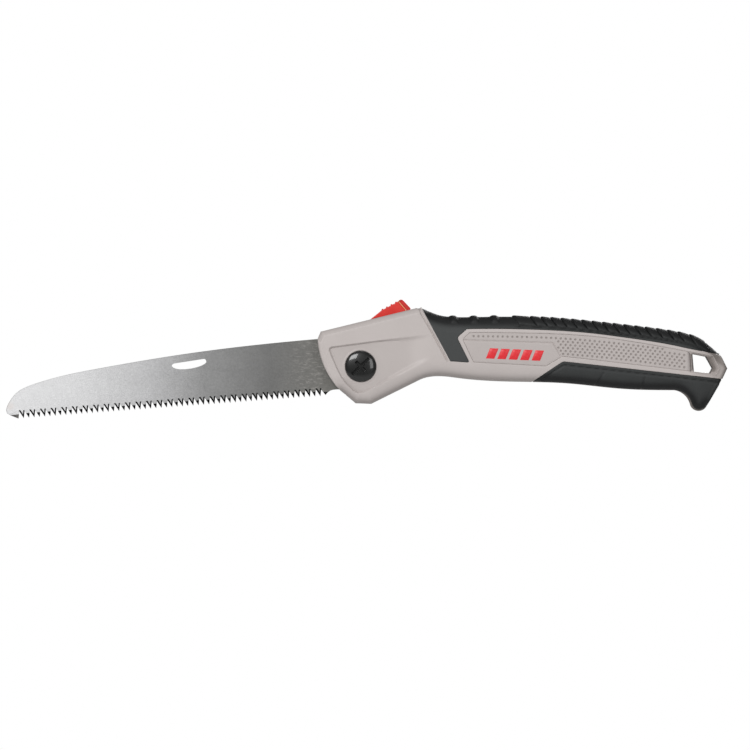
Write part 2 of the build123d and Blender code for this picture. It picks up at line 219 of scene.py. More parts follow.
def curve(points, start=None, end=None, step=0.6):
    """Points every step mm along the smooth curve through these, from one direction to another."""
    knots = np.array(points, float)
    gaps = np.hypot(*np.diff(knots, axis=0).T)
    count = len(knots)
    rows, right = np.zeros((count, count)), np.zeros((count, 2))
    for i in range(1, count - 1):
        before, after = knots[i] - knots[i - 1], knots[i + 1] - knots[i]
        rows[i, i - 1 : i + 2] = 1 / gaps[i - 1], 2 / gaps[i - 1] + 2 / gaps[i], 1 / gaps[i]
        right[i] = 3 * (before / gaps[i - 1] ** 2 + after / gaps[i] ** 2)
    for row, beside, gap, way in ((0, 1, gaps[0], start), (count - 1, count - 2, gaps[-1], end)):
        if way is None:
            rows[row, row], rows[row, beside] = 2, 1
            right[row] = 3 * (knots[max(row, beside)] - knots[min(row, beside)]) / gap
        else:
            rows[row, row] = 1
            right[row] = np.array(way) / math.hypot(*way)
    slopes = np.linalg.solve(rows, right)
    drawn = []
    for i in range(count - 1):
        for s in np.arange(0, 1, 1 / max(1, round(gaps[i] / step))):
            drawn.append(
                (2 * s**3 - 3 * s**2 + 1) * knots[i]
                + (s**3 - 2 * s**2 + s) * gaps[i] * slopes[i]
                + (3 * s**2 - 2 * s**3) * knots[i + 1]
                + (s**3 - s**2) * gaps[i] * slopes[i + 1]
            )
    return drawn + [knots[-1]]


def straight(points, step=0.6):
    """Points every step mm along the straight runs through these."""
    drawn = []
    for a, b in zip(points, points[1:]):
        a, b = np.array(a, float), np.array(b, float)
        for s in np.arange(0, 1, 1 / max(1, round(math.dist(a, b) / step))):
            drawn.append(a + s * (b - a))
    return drawn + [np.array(points[-1], float)]


def loop(*runs):
    """One closed loop from runs of points, without its doubled joints."""
    points = [np.array(p, float) for run in runs for p in run]
    kept = [p for p, q in zip(points, points[1:] + points[:1]) if math.dist(p, q) > 0.02]
    return np.array(kept)


def arc(radius, first, last, centre=(0, 0), step=3):
    """Points along a circle from one angle to another, in degrees."""
    turns = np.radians(np.linspace(first, last, max(2, round(abs(last - first) / step) + 1)))
    return [(centre[0] + radius * math.cos(t), centre[1] + radius * math.sin(t)) for t in turns]


def inside(points, loops):
    """Whether each point lies inside an odd number of the loops."""
    x, z = points[:, 0], points[:, 1]
    hit = np.zeros(len(points), bool)
    for ring in loops:
        for (ax, az), (bx, bz) in zip(ring, np.roll(ring, -1, axis=0)):
            if az != bz:
                hit ^= ((az > z) != (bz > z)) & (x < (bx - ax) * (z - az) / (bz - az) + ax)
    return hit


def away(points, lines, closed=True):
    """Distance from each point to the nearest of the lines."""
    best = np.full(len(points), 1e12)
    for line in lines:
        line = np.asarray(line, float)
        ends = np.roll(line, -1, axis=0) if closed else line[1:]
        for p, q in zip(line, ends):
            run = q - p
            size = run @ run
            if size > 0:
                offset = points - p
                offset = offset - np.clip(offset @ run / size, 0, 1)[:, None] * run
                best = np.minimum(best, (offset**2).sum(1))
    return np.sqrt(best)


def fill(loops, extra=(), lines=()):
    """Triangles inside the loops, through the extra points and along the lines.

    Gives the points, the faces, and each loop's point numbers."""
    flat, edges, starts = [], [], []
    for ring in loops:
        first = len(flat)
        starts.append(first)
        flat += [Vector(p) for p in ring]
        edges += [(first + i, first + (i + 1) % len(ring)) for i in range(len(ring))]
    for line in lines:
        first = len(flat)
        flat += [Vector(p) for p in line]
        edges += [(first + i, first + i + 1) for i in range(len(line) - 1)]
    flat += [Vector(p) for p in extra]
    points, _, faces, origins, _, _ = delaunay_2d_cdt(flat, edges, [], 0, 1e-6)
    points = np.array([(p.x, p.y) for p in points])
    where = {old: number for number, olds in enumerate(origins) for old in olds}
    faces = np.array([f for f in faces if len(f) == 3])
    faces = faces[inside(points[faces].mean(1), loops)]
    rings = [[where[first + i] for i in range(len(ring))] for first, ring in zip(starts, loops)]
    return points, faces, rings


def band(low, high):
    """The faces between two closed rings of point numbers."""
    corners = zip(low, low[1:] + low[:1], high[1:] + high[:1], high)
    return [tuple(dict.fromkeys(face)) for face in corners]


def skinned(rings):
    """The points and faces of an open tube through these rings of points, and its rows of point numbers."""
    points, rows, sides = [], [], max(len(ring) for ring in rings)
    for ring in rings:
        numbers = list(range(len(points), len(points) + len(ring)))
        rows.append(numbers * (sides // len(ring)))
        points += ring
    return points, [face for low, high in zip(rows, rows[1:]) for face in band(low, high)], rows


def face_outward(mesh):
    """Turns the faces of the mesh outward."""
    shaped = bmesh.new()
    shaped.from_mesh(mesh)
    bmesh.ops.recalc_face_normals(shaped, faces=shaped.faces)
    shaped.to_mesh(mesh)
    shaped.free()


def piece(name, body, finishes, points, faces, crease=35, choice=None, stands_for=()):
    """A mesh riding on its body, from points about the pivot in mm: x, forward of the middle plane, z."""
    mesh = bpy.data.meshes.new(name)
    placed = np.array(points, float) * (0.001, -0.001, 0.001) + np.array(pivot)
    mesh.from_pydata(placed.tolist(), [], [tuple(int(i) for i in f) for f in faces])
    for made in finishes:
        mesh.materials.append(made)
    if choice is not None:
        mesh.polygons.foreach_set("material_index", np.asarray(choice, dtype=np.int32))
    face_outward(mesh)
    mesh.shade_smooth()
    mesh.set_sharp_from_angle(angle=math.radians(crease))
    made = bpy.data.objects.new(name, mesh)
    scene.collection.objects.link(made)
    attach(made, body)
    if stands_for:
        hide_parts(*stands_for)
    return made


steel, new, shader = finish("ground_blade_steel", Metallic=0.35, Specular_IOR_Level=0.4)
place = millimetres(new)
split = new.put("SeparateXYZ", {0: place})
speckle = grain(new, place, 1.0, 4.0, 0.7)
cloud = grain(new, place, 12.0, 4.0, 0.6)
slanted = {"Vector": place, "Rotation": (0, math.radians(62), 0), "Scale": (0.35, 1, 1.3)}
scratch = {"Vector": new.put("Mapping", slanted), "Scale": 0.9, "Detail": 5.0, "Roughness": 0.75}
scratch = new.put("TexNoise", scratch).step(0.5, 0.66)
near_head = split.step(-48, -30) * split.step(-16, -24)
# Painted reflection: the steel's colour runs from light at the tip to dark by the head, standing in for the
# soft box's reflection falling off along the blade.
painted_reflection_tones = [(0.0, (226, 226, 227)), (0.22, (217, 217, 218)), (0.42, (189, 189, 190))]
painted_reflection_tones += [(0.62, (142, 142, 142)), (0.82, (112, 112, 111)), (1.0, (115, 114, 110))]
from_tip = new.put("MapRange", {"Value": split, 1: -204.0, 2: -20.0})
shade = new.put("ValToRGB", {0: from_tip}, stops=[(spot, linear(*tone)) for spot, tone in painted_reflection_tones])
mottled = (speckle - 0.5) * 0.9 + (cloud - 0.5) * 0.3 + 0.5
mottled = mottled.between(linear(140, 140, 140), linear(236, 236, 236))
mottled = new.put("Mix", {0: 0.5, 6: shade, 7: mottled}, out=2, data_type="RGBA", blend_type="OVERLAY")
worn = (scratch * near_head * 0.55).between(mottled, linear(164, 161, 157))
heat = new.put("VectorMath", {0: place, 1: (-203.2, 0.0, -23.2)}, out=1, operation="DISTANCE")
tinted = (heat.step(13.0, 12.0) * 0.28).between(worn, linear(214, 168, 132))
surface(new, shader, tinted, speckle * 0.16 + cloud * 0.14 + 0.3, speckle * 0.6 + scratch * 0.4, 0.03)

hardened = clouded(
    "hardened_tooth_tip", (6, 6, 7), (24, 24, 26), (1.4, 3.0), (0.6, 0.2), 0.02, Specular_IOR_Level=0.12
)

ground, new, shader = finish("ground_toe_bevel", Metallic=0.6)
place = millimetres(new)
stroke = new.put("Mapping", {"Vector": place, "Rotation": (0, math.radians(-58), 0), "Scale": (0.3, 1, 7.0)})
stroke = new.put("TexNoise", {"Vector": stroke, "Scale": 1.6, "Detail": 2.0})
along_toe = new.put("SeparateXYZ", {0: place}).step(-204.0, -198.5)
toned = along_toe.between(linear(40, 32, 26), linear(120, 118, 116))
toned = (stroke * 0.4).between(toned, linear(80, 78, 76))
surface(new, shader, toned, stroke * 0.25 + 0.35, stroke, 0.03)

tooth_pitch, tooth_count, toe_tooth, tooth_fall = 3.08, 58, 200.2, 0.0069
tooth_line, tooth_height, half_blade = -14.2, 3.9, 0.65
long_flank, short_flank, edge_thinning = 2.23, 0.72, 0.3
spine = [(7, 17.9), (72, 16.9), (121.5, 13.9), (151, 11.15), (172, 8.65), (187.2, 5.7)]
spine += [(194.7, 3.6), (200.1, 0.9), (204.2, -3.4), (206.6, -7.4)]
spine = curve(spine, (1, 0), (0.4, -1), 1.5)
nose = curve([(206.6, -7.4), (206.9, -9.9), (204.9, -11.9)], (0.4, -1), (-1, -0.45), 0.6)
teeth, folds, chains, levels_at, tooth_faces = [], [], [], {}, []


def mark(point, front_level, back_level):
    """Sets how thick the blade is at this point, forward and back of its middle plane."""
    levels_at[(round(point[0], 3), round(point[1], 3))] = (front_level, back_level)


for k in range(tooth_count):
    tip, point = toe_tooth - k * tooth_pitch, tooth_line - k * tooth_pitch * tooth_fall
    root = point + tooth_height
    top, long_root, short_root = (tip, point), (tip + long_flank, root), (tip - short_flank, root)
    front = k % 2 == 1
    share = 0.54 if front else 0.7
    long_mid = (tip + long_flank * share, point + tooth_height * share)
    short_mid = (tip - short_flank * share, point + tooth_height * share)
    apex = (tip + 0.3, point + tooth_height * share + 0.2)
    long_end, long_in = (tip + 2.6, root + 1.0), (tip + 1.6, root + 0.9)
    short_end, short_in = (tip - 0.84, root + 0.9), (tip - 0.05, root + 0.8)
    if k == 0:
        wedge = [(204.9, -11.9), (199.74, -11.7), top]
        teeth += [top, (199.74, -11.7), short_root]
        mark((204.9, -11.9), 0.3, 0.3)
        mark(top, 0.12, 0.12)
        tooth_faces.append((wedge, 2, 2))
        continue
    teeth += [long_root, long_mid, top, short_mid, short_root]
    chains.append([long_root, long_end, long_in, apex, short_in, short_end, short_root])
    chains.append([long_mid, apex, short_mid])
    for spots, ground_side, whole_side in (
        ((long_root, short_root), 0.1, 0.6),
        ((long_mid, short_mid), 0.1, 0.45),
        ((top,), 0.08, 0.3),
        ((apex,), 0.5, 0.62),
    ):
        for spot in spots:
            mark(spot, *((ground_side, whole_side) if front else (whole_side, ground_side)))
    sides = (1, 0) if front else (0, 1)
    tooth_faces.append(([top, long_root, long_end, long_in, apex], *sides))
    tooth_faces.append(([top, apex, short_in, short_end, short_root], *sides))
    tooth_faces.append(([long_mid, top, short_mid, apex], 1, 1))
teeth.append((22.88, -13.1))
chains.append([(22.88, -13.1), (19.7, -13.15)])
heel = [(21.7, -14.9), (19.7, -13.15), (18.0, -12.4), (15.9, -12.2), (10.3, -12.9)]
heel = curve(heel, (-0.7, 0.7), (-1, -0.3), 0.6)
tooth_faces.append(([(23.2, -13.11), (21.7, -15.2), (19.2, -13.13)], 1, 1))
tang_radius, notch_radius, notch_half_angle, lock_angles = 16.5, 14.2, 8.4, (87.62, 257.12)
tang = arc(tang_radius, -51.4, -254, step=2)
notched = []
for x, z in tang:
    angle = math.degrees(math.atan2(z, x))
    near = min(abs((angle - a + 180) % 360 - 180) for a in lock_angles)
    shrink = 1 if near > notch_half_angle else notch_radius / tang_radius
    notched.append((x * shrink, z * shrink))
tang = [p for p in notched if not (p[0] > 6.0 and p[1] > 14.8)]
outline_blade = loop(spine, nose, teeth, heel, tang)
window_low = [(89.0, 10.0), (90.2, 8.7), (93.8, 7.4), (98.4, 6.7), (103.6, 6.7), (108.2, 8.0), (109.2, 9.2)]
window = loop(
    curve(window_low, (0, -1), (0.2, 1)),
    curve([(109.2, 9.2), (108.2, 10.2), (107.0, 10.4)], (-0.2, 1), (-1, 0.1)),
    straight([(107.0, 10.4), (90.8, 11.6)]),
    curve([(90.8, 11.6), (89.5, 11.3), (89.0, 10.0)], (-1, 0.1), (0, -1)),
)
pivot_hole = loop(arc(4.55, 0, 356, step=4))
rim = [(u + 0.05, v - 0.45) for u, v in spine[1:-6]] + [(u - 0.45, v) for u, v in spine[-6:] + nose[:-2]]
flat, faces, rings = fill([outline_blade, window, pivot_hole], rim, chains)
levels = np.full((len(flat), 2), half_blade)
for number, (u, v) in enumerate(flat):
    levels[number] = levels_at.get((round(float(u), 3), round(float(v), 3)), levels[number])
levels[rings[0][: len(spine) + len(nose) - 2]] = half_blade - edge_thinning
centres = flat[faces].mean(1)
finishes_at = np.zeros((len(faces), 2), int)
for shape, front_choice, back_choice in tooth_faces:
    shape = np.array(shape)
    near = np.flatnonzero((np.abs(centres - shape.mean(0)) < 6).all(1))
    hit = near[inside(centres[near], [shape])]
    if front_choice:
        finishes_at[hit, 0] = front_choice
    if back_choice:
        finishes_at[hit, 1] = back_choice
droop = math.radians(4.62)
turned = flat @ np.array([(-math.cos(droop), -math.sin(droop)), (-math.sin(droop), math.cos(droop))])
count = len(flat)
sides = (levels[:, 0], -levels[:, 1])
points = np.concatenate([np.stack([turned[:, 0], level, turned[:, 1]], axis=1) for level in sides])
all_faces = [tuple(f) for f in faces] + [tuple(f[::-1] + count) for f in faces]
choice = list(finishes_at[:, 0]) + list(finishes_at[:, 1])
toothed = (flat[:, 1] < -11.5) & (flat[:, 0] > 22) & (flat[:, 0] < 200)
for ring in rings:
    all_faces += band(ring, [number + count for number in ring])
    choice += [int(toothed[a] and flat[b, 1] < -11.5) for a, b in zip(ring, ring[1:] + ring[:1])]
blade_finishes = [steel, hardened, ground]
piece("blade_plate", "blade", blade_finishes, points, all_faces, 12, choice, ["blade"])

# The handle shells
# Two mirrored cheeks moulded in grey glass-filled nylon, screwed together from the back. The head is faceted,
# with a sunk flat round the pivot, and the outside of each cheek is slightly crowned.


def circle_through(a, b, c, step=3):
    """Points along the circular arc from a through b to c."""
    (ax, az), (bx, bz), (cx, cz) = a, b, c
    d = 2 * (ax * (bz - cz) + bx * (cz - az) + cx * (az - bz))
    sa, sb, sc = ax * ax + az * az, bx * bx + bz * bz, cx * cx + cz * cz
    ox = (sa * (bz - cz) + sb * (cz - az) + sc * (az - bz)) / d
    oz = (sa * (cx - bx) + sb * (ax - cx) + sc * (bx - ax)) / d
    first, last = math.atan2(az - oz, ax - ox), math.atan2(cz - oz, cx - ox)
    turn = (last - first + math.pi) % (2 * math.pi) - math.pi
    return arc(math.dist(a, (ox, oz)), math.degrees(first), math.degrees(first + turn), (ox, oz), step)


mouth = circle_through((-24.9, 16.0), (-20.9, -0.6), (-11.5, -14.2), 1)
chin = straight([(-11.5, -14.2), (-2.9, -21.4), (6.1, -21.75), (34.0, -7.9)])
belly = [(34.0, -7.9), (44.7, -5.7), (57.6, -6.9), (85, -8.8), (120, -9.9), (150, -12.9), (181, -13.8)]
belly = curve(belly, (0.9, 0.44), (1, 0))
throat = curve([(181, -13.8), (188.6, -17.4), (191.2, -22.6)], (1, 0), (0.25, -1))
hook = circle_through((191.2, -22.6), (195.6, -25.8), (200.4, -23.1), 6)
tail = straight([(200.4, -23.1), (209.3, -7.6), (212.3, -1.2), (208.4, 6.9)])
top_line = [(33.4, 34.0), (44.5, 30.4), (60, 28.9), (85, 29.2), (120, 27.6), (150, 24.5)]
top_line = curve(top_line + [(180, 20.7), (196.8, 16.0), (208.4, 6.9)], (1, -0.12), (0.70, -0.72))
brow = straight([(33.4, 34.0), (-23.2, 20.1), (-24.9, 16.0)])
outline = loop(mouth, chin, belly, throat, hook, tail, top_line[::-1], brow)
half_handle = 11.0


def step(value, low, high):
    """A smooth rise from 0 to 1 as the value goes from low to high."""
    t = np.clip((value - low) / (high - low), 0, 1)
    return t * t * (3 - 2 * t)


def rounded(distance, width, drop):
    """How far a rounded edge of this width has fallen at this distance in from the edge."""
    t = np.clip(1 - distance / width, 0, 1)
    return drop * (1 - np.sqrt(np.clip(1 - t * t, 0, 1)))


def left_of(p, a, b):
    """Signed distance of each point to the left of the line from a to b."""
    run = np.array(b, float) - a
    run /= math.hypot(*run)
    return run[0] * (p[:, 1] - a[1]) - run[1] * (p[:, 0] - a[0])


sunk = [(-18.5, 9.2), (-18.3, 10.7), (-17.0, 11.5), (34.4, 18.2), (42.0, 19.2), (43.4, 5.4), (1.2, -15.6)]
sunk += [(-1.6, -15.9), (-4.6, -14.4), (-8.0, -11.0), (-11.2, -7.0), (-14.0, -1.6), (-16.5, 4.2)]
sunk = np.array(sunk)
lanyard_lip = np.array([(189.6, 9.0), (190.4, -3.8), (205.7, -5.0), (207.5, -1.3), (203.9, 6.0)])
low_edge, top_edge = np.array(chin[20:] + belly + throat), np.array(brow[::-1] + top_line)


def cheek(p):
    """Height of the cheek above the middle plane, before each part's own relief."""
    x, z = p[:, 0], p[:, 1]
    on_head = 1 - step(x, 33, 46)
    bottom = np.interp(x, low_edge[:, 0], low_edge[:, 1])
    top = np.interp(x, top_edge[:, 0], top_edge[:, 1])
    swing = np.clip((2 * z - top - bottom) / np.maximum(top - bottom, 8), -1, 1)
    height = half_handle - (0.9 - 0.6 * on_head) * swing**2
    grip_edge = rounded(away(p, [belly + throat + hook], False), 8.5, 7.2)
    back_edge = rounded(away(p, [tail], False), 2.2, 2.6)
    spine_edge = rounded(away(p, [top_line], False), 9.0, 8.4) * step(x, 33.4, 39)
    chin_edge = rounded(away(p, [chin], False), 9.5, 7.0)
    brow_edge = 2.5 * np.clip(1 - away(p, [brow], False) / 2.8, 0, 1) ** 0.9 * (1 - step(x, 35, 40))
    mouth_edge = rounded(away(p, [mouth], False), 2.6, 1.3)
    height -= np.max([grip_edge, back_edge, spine_edge, chin_edge, brow_edge, mouth_edge], axis=0)
    height -= 2.0 * np.clip((x - 205.2 + 0.35 * np.abs(z + 1.2)) / 7.0, 0, 1) * (1 - step(-z, 7, 11))
    within = inside(p, [sunk]) * away(p, [sunk])
    height -= 1.6 * step(within / (1.0 + 1.5 * step(x, 8, 32)), 0.0, 1.0) * (1 - step(x, 26, 42))
    hollow = inside(p, [lanyard_lip]) * away(p, [lanyard_lip])
    return height - 4.2 * np.clip(hollow / 3.6, 0, 1)


def soft_line(distance, width):
    """1 on a line, fading to nothing a little beyond this distance from it."""
    return np.exp(-((distance / width) ** 2))


def shell_relief(p):
    """Moulded lines of the shell: behind the mouth, beside the soft grip and round the screw."""
    groove = -0.1 * soft_line(away(p, [mouth], False) - 3.4, 0.5)
    collar = -left_of(p, (35.1, 33.95), (51.4, 3.8))
    beside = (collar > 0) * step(p[:, 1], 1.5, 4)
    bead = 0.35 * (1 - step(collar, 0.7, 1.05)) - 0.8 * soft_line(collar - 1.5, 0.4)
    reach = np.hypot(p[:, 0], p[:, 1])
    ring = 0.18 * step(reach, 9.0, 9.25) * (1 - step(reach, 9.9, 10.3)) - 0.5 * (1 - step(reach, 8.95, 9.15))
    ridge = 0.35 * soft_line(away(p, [lanyard_lip]), 0.4) * step(p[:, 0], 191, 193)
    return groove + bead * beside + ring + ridge


def leftward(run):
    """The direction square to each run, to its left, of unit length."""
    return np.stack([-run[:, 1], run[:, 0]], axis=1) / np.maximum(np.hypot(*run.T), 1e-9)[:, None]


def kept_inside(points, loops, margin):
    """Those of the points that lie inside the loops, more than margin from them."""
    return points[inside(points, loops) & (away(points, loops) > margin)]


def edge_points(loops, depths):
    """Points a little way in from the loops, in rows at these depths, for a crisp rounded edge."""
    rows = []
    for ring in loops:
        square = leftward(np.roll(ring, -1, axis=0) - np.roll(ring, 1, axis=0))
        for depth in depths:
            for side in (1, -1):
                rows.append(kept_inside(ring + side * depth * square, loops, 0.93 * depth))
    return np.concatenate(rows)


def capped(loops, rows):
    """The faces that fill the loops, given each loop's row of point numbers."""
    _, faces, rings = fill(loops)
    number = {}
    for ring, row in zip(rings, rows):
        number.update(zip(ring, row))
    return [tuple(number[i] for i in f) for f in faces if all(i in number for i in f)]


def lifted(loops, spacing, level, depths, inner, wall_rows=4, soft=0.4, drop=0.35, extra=None):
    """A closed solid over the loops: a face at level(points), softened edges, walls and a flat inner side."""
    low, high = loops[0].min(0), loops[0].max(0)
    xs, zs = np.arange(low[0], high[0], spacing), np.arange(low[1], high[1], spacing * 0.866)
    grid = np.array([(x + (j % 2) * spacing / 2, z) for j, z in enumerate(zs) for x in xs])
    grid = grid[inside(grid, loops)]
    grid = grid[away(grid, loops) > depths[-1] + 0.35 * spacing]
    inner_points = [grid, edge_points(loops, depths)] + ([extra] if extra is not None else [])
    flat, faces, rings = fill(loops, np.concatenate(inner_points))
    own_edge = away(flat, loops)
    height = level(flat) - rounded(own_edge, soft, drop)
    points = [np.stack([flat[:, 0], np.maximum(height, inner + 0.3), flat[:, 1]], axis=1)]
    faces, total, feet = [tuple(f) for f in faces], len(flat), []
    for ring in rings:
        last, top = ring, points[0][ring]
        for share in np.arange(1, wall_rows + 1) / wall_rows:
            wall = top.copy()
            wall[:, 1] = top[:, 1] * (1 - share) + inner * share
            points.append(wall)
            this = list(range(total, total + len(ring)))
            total += len(ring)
            faces += band(last, this)
            last = this
        feet.append(last)
    return np.concatenate(points), faces + [f[::-1] for f in capped(loops, feet)]


def swell(points, faces, amount, inner):
    """Moves the points along their normals by amount(points), except on the inner side."""
    mesh = bpy.data.meshes.new("swell")
    outer = [f for f in faces if not all(abs(points[i][1] - inner) < 1e-6 for i in f)]
    mesh.from_pydata(points.tolist(), [], [tuple(int(i) for i in f) for f in outer])
    face_outward(mesh)
    normals = np.zeros(len(points) * 3)
    mesh.vertex_normals.foreach_get("vector", normals)
    normals = normals.reshape(-1, 3)
    bpy.data.meshes.remove(mesh)
    moved = points + normals * amount(points)[:, None]
    moved[:, 1] = np.where(np.abs(points[:, 1] - inner) < 1e-6, inner, moved[:, 1])
    return moved


cheeks = (("front_", 1), ("back_", -1))


def both_sides(name, finishes, points, faces, crease, choice=None):
    """The piece on the front cheek, and its mirror image on the back one, in place of the CAD nodes."""
    pair = []
    for side, sign in cheeks:
        placed = points * (1, sign, 1)
        turned = faces if sign == 1 else [f[::-1] for f in faces]
        made, stands_for = side + name + "_skin", [side + name]
        pair.append(piece(made, "handle", finishes, placed, turned, crease, choice, stands_for))
    return pair


def cut_out(targets, name, rings):
    """Cuts a straight-sided hollow between two rings of points out of the targets."""
    points, faces, rows = skinned(rings)
    cutter = piece(name, "handle", [], points, [tuple(rows[0]), tuple(rows[1][::-1])] + faces)
    for target in targets:
        step_made = target.modifiers.new(name, "BOOLEAN")
        step_made.object, step_made.operation, step_made.solver = cutter, "DIFFERENCE", "EXACT"
        graph = bpy.context.evaluated_depsgraph_get()
        cut = bpy.data.meshes.new_from_object(target.evaluated_get(graph))
        target.modifiers.clear()
        target.data = cut
    bpy.data.objects.remove(cutter)


def cut_away(targets, name, outline, far, near=None):
    """Cuts this outline out of the targets from near to far, forward of the middle plane."""
    near = -far if near is None else near
    cut_out(targets, name, [[(x, level, z) for x, z in outline] for level in (near, far)])


def from_middle(new, place):
    """How far out from the saw's middle plane, in millimetres."""
    across = new.put("SeparateXYZ", {0: place}, out=1)
    return new.put("Math", {0: across - pivot.y * 1000}, operation="ABSOLUTE")


nylon, new, shader = finish("grey_nylon", Specular_IOR_Level=0.42)
place = millimetres(new)
fine, cloud = grain(new, place, 0.28, 3.0, 0.6), grain(new, place, 22.0, 3.0)
split = new.put("SeparateXYZ", {0: place})
toned = cloud.between(linear(190, 182, 179), linear(199, 191, 188))
# Painted shade: the grey is darkened where the surface lies nearer the middle plane, strongly in the lanyard
# hollow at the tail and lightly on the rounded edges and the sunk flat elsewhere. The tail end is also
# darkened towards its end.
depth = from_middle(new, place)
at_tail = split.step(186, 190)
painted_shade_mask = depth.step(10.1, 8.3) * at_tail * 0.9 + depth.step(10.3, 6.8) * (1.0 - at_tail) * 0.45
painted_shade_grey = painted_shade_mask.between(toned, linear(106, 99, 95))
tail_painted_shade = (split.step(185, 212) * 0.45).between(painted_shade_grey, linear(160, 152, 147))
surface(new, shader, tail_painted_shade, fine * 0.14 + cloud * 0.1 + 0.34, fine, 0.018)

top_border = [(63.3, 21.6), (99.4, 21.3), (133, 19.2), (152, 16.8), (182.3, 11.9), (191.6, 9.9), (207.9, 6.9)]
top_border = curve(top_border, (1, 0.02), (1, -0.2))
collar_side = straight([(34.9, 33.95), (51.2, 3.9)])


def bent(start, *bends):
    """Points along straight runs from start to each bend, and round it. A bend is as curve() takes it."""
    drawn = [start]
    for bend in bends:
        drawn += straight([drawn[-1], bend[0][0]]) + curve(*bend)
    return drawn


flap = bent(
    (51.2, 3.9),
    ([(51.2, 3.9), (51.9, 3.0), (53.4, 2.9)], (0.45, -0.9), (1, -0.1), 0.3),
    ([(61.6, 2.3), (62.5, 2.6), (62.3, 3.6)], (1, -0.05), (-0.4, 0.9), 0.3),
    ([(56.6, 15.0), (56.4, 16.8), (57.5, 18.2)], (-0.4, 0.9), (0.6, 0.7), 0.4),
    ([(60.4, 20.6), (61.6, 21.4), (63.3, 21.6)], (0.8, 0.6), (1, 0.02), 0.4),
)
low_border = bent((99.7, -8.75), ([(115.6, 1.9), (117.4, 2.7), (119.4, 2.6)], (0.8, 0.5), (1, -0.05), 0.4))
low_border += straight([(119.4, 2.6), (208.7, -7.3)])
panel_top = curve([(64.1, 19.6), (99.4, 19.2), (133, 17.5), (160, 13.9), (187.4, 9.0)], (1, 0), (1, -0.19))
panel_loop = loop(
    panel_top,
    curve([(187.4, 9.0), (190.0, 7.9), (190.8, 5.8)], (1, -0.2), (0.05, -1), 0.4),
    bent((190.8, 5.8), ([(191.3, -2.0), (191.1, -2.8), (190.2, -2.8)], (0, -1), (-1, 0.1), 0.4)),
    straight([(190.2, -2.8), (133.0, 4.0)]),
    bent(
        (133.0, 4.0),
        ([(118.0, 5.6), (116.6, 5.6), (115.4, 4.9)], (-1, 0.1), (-0.85, -0.5), 0.4),
        ([(108.3, 0.7), (107.2, 0.2), (105.6, 0.2)], (-0.85, -0.5), (-1, 0.05), 0.4),
        ([(66.6, 2.3), (65.4, 2.6), (64.6, 3.8)], (-1, 0.05), (-0.45, 0.9), 0.4),
        ([(59.5, 14.6), (59.4, 15.9), (60.2, 16.8)], (-0.4, 0.9), (0.7, 0.7), 0.4),
        ([(62.6, 19.1), (63.2, 19.5), (64.1, 19.6)], (0.7, 0.7), (1, 0), 0.4),
    ),
)
see_through = [(192.0, 7.2), (192.9, -3.1), (202.3, -4.1), (203.7, -1.1), (200.0, 5.6), (192.0, 7.2)]
see_through = loop(straight(see_through))
bare_belly, bare_tail = [p for p in belly if p[0] < 99.4], [p for p in tail if -7.3 < p[1] < 6.8]
head_side = [top_border[::-1], flap[::-1], collar_side[::-1], brow]
shell_outer = loop(mouth, chin, bare_belly, low_border, bare_tail, *head_side)
shell_loops = [shell_outer, panel_loop, see_through]


def drawn_in(line, depth):
    """A line of points moved to its left by depth."""
    line = np.array(line, float)
    return [tuple(p) for p in line + depth * leftward(np.gradient(line, axis=0))]


sunk_line = straight([tuple(q) for q in np.roll(sunk, 7, axis=0)], 0.4)
fine_rows = [sunk_line] + [drawn_in(sunk_line, -depth) for depth in (0.3, 0.6, 0.9, 1.2)]
fine_rows += [arc(radius, 0, 358, step=2) for radius in (8.9, 9.2, 9.5, 9.8, 10.1, 10.4)]
collar_run = straight([(34.9, 33.95), (51.2, 3.9)], 0.3)
collar_depths = (0.75, 0.95, 1.15, 1.35, 1.55, 1.75, 1.95, 2.15, 2.4)
fine_rows += [drawn_in(collar_run, -depth) for depth in collar_depths]
lip_run = straight([tuple(q) for q in lanyard_lip] + [tuple(lanyard_lip[0])], 0.3)
fine_rows += [drawn_in(lip_run, depth) for depth in (-0.5, -0.25, 0.0, 0.25, 0.5)]
fine_rows += [drawn_in(mouth, depth) for depth in (3.0, 3.4, 3.8)]
fine_points = np.concatenate([np.array(row) for row in fine_rows])
fine_points = kept_inside(fine_points, shell_loops, 0.15)
parting = 0.02
points, faces = lifted(shell_loops, 0.75, cheek, (0.1, 0.25, 0.45, 0.8, 1.3), parting, extra=fine_points)
points = swell(points, faces, lambda p: shell_relief(p[:, [0, 2]]), parting)
shells = both_sides("shell", [nylon], points, faces, 32)
blade_slot = [(-40, 17.0), (-7, 20.0), (5, 20.0), (17, 14.4), (214, -7.3), (214, -40), (-40, -40)][::-1]
lever_pocket = [(-6.8, 17.5), (-6.8, 40), (33.5, 40), (30.6, 27.5), (29.6, 17.0), (19.0, 17.0), (8, 17)]
slot_half, pocket_half = 1.5, 4.5
cut_away(shells, "blade_slot", blade_slot, slot_half)
cut_away(shells, "lever_pocket", lever_pocket, pocket_half)
screw_places = ((70.0, 12.4), (125.0, 9.6), (176.0, 3.4))
screw_bore, panel_bore, bore_mouth, screw_seat = 3.1, 3.4, -12.5, -6.85
for number, place in enumerate(screw_places):
    cut_away(shells[1:], f"screw_bore_{number}", arc(screw_bore, 0, 352, place, 8), bore_mouth, screw_seat)

# The top grips
# Dark thermoplastic rubber moulded over each shell, with a flap down behind the head, three thumb ridges
# and a long block of slanting ribs over the back of the hand.
rubber, new, shader = finish("soft_rubber", Specular_IOR_Level=0.35)
place = millimetres(new)
fine, cloud = grain(new, place, 0.22, 3.0, 0.65), grain(new, place, 9.0, 3.0)
depth, along = from_middle(new, place), new.put("SeparateXYZ", {0: place})
